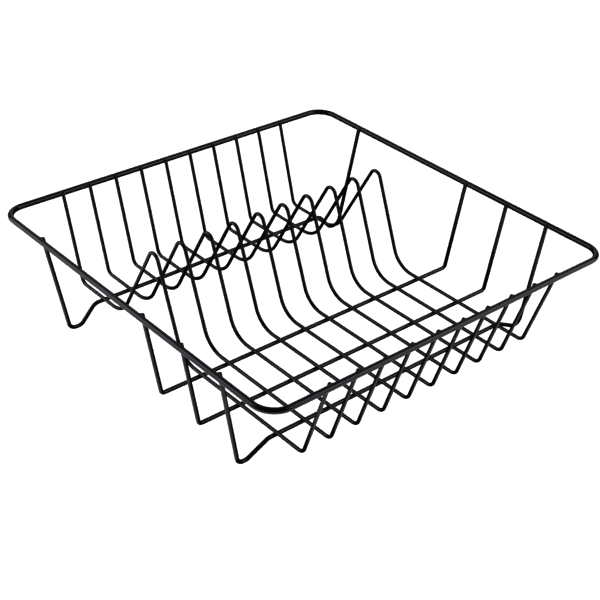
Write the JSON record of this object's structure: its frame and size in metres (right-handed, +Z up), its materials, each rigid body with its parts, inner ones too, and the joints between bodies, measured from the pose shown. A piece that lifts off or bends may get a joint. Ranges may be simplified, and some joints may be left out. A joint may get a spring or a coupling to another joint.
{
  "type": "dish drying rack",
  "caption": "Free-standing open-wire dish drying rack: a rounded rectangular rim holds a shallow basin of bent wires with a row of pointed plate loops, on feet bent from the outer cross wires.",
  "frame": {"origin": "on the surface the rack stands on, under the middle of the rim", "axes": "+Z up, +X from the back wall by the plate loops towards the front wall, +Y along the slightly longer side, to the right for someone at the front"},
  "size_m": [0.4014, 0.4054, 0.1149],
  "materials": {
    "black_coating": "smooth gloss black polymer coating on steel wire"
  },
  "bodies": {
    "root": {"rim_wire": "black_coating", "plate_wire_01": "black_coating", "plate_wire_02": "black_coating", "plate_wire_03": "black_coating", "plate_wire_04": "black_coating", "plate_wire_05": "black_coating", "plate_wire_06": "black_coating", "plate_wire_07": "black_coating", "plate_wire_08": "black_coating", "plate_wire_09": "black_coating", "plate_wire_10": "black_coating", "base_wire_back": "black_coating", "base_wire_front": "black_coating", "foot_wire_back": "black_coating", "foot_wire_front": "black_coating"}
  },
  "joints": []
}
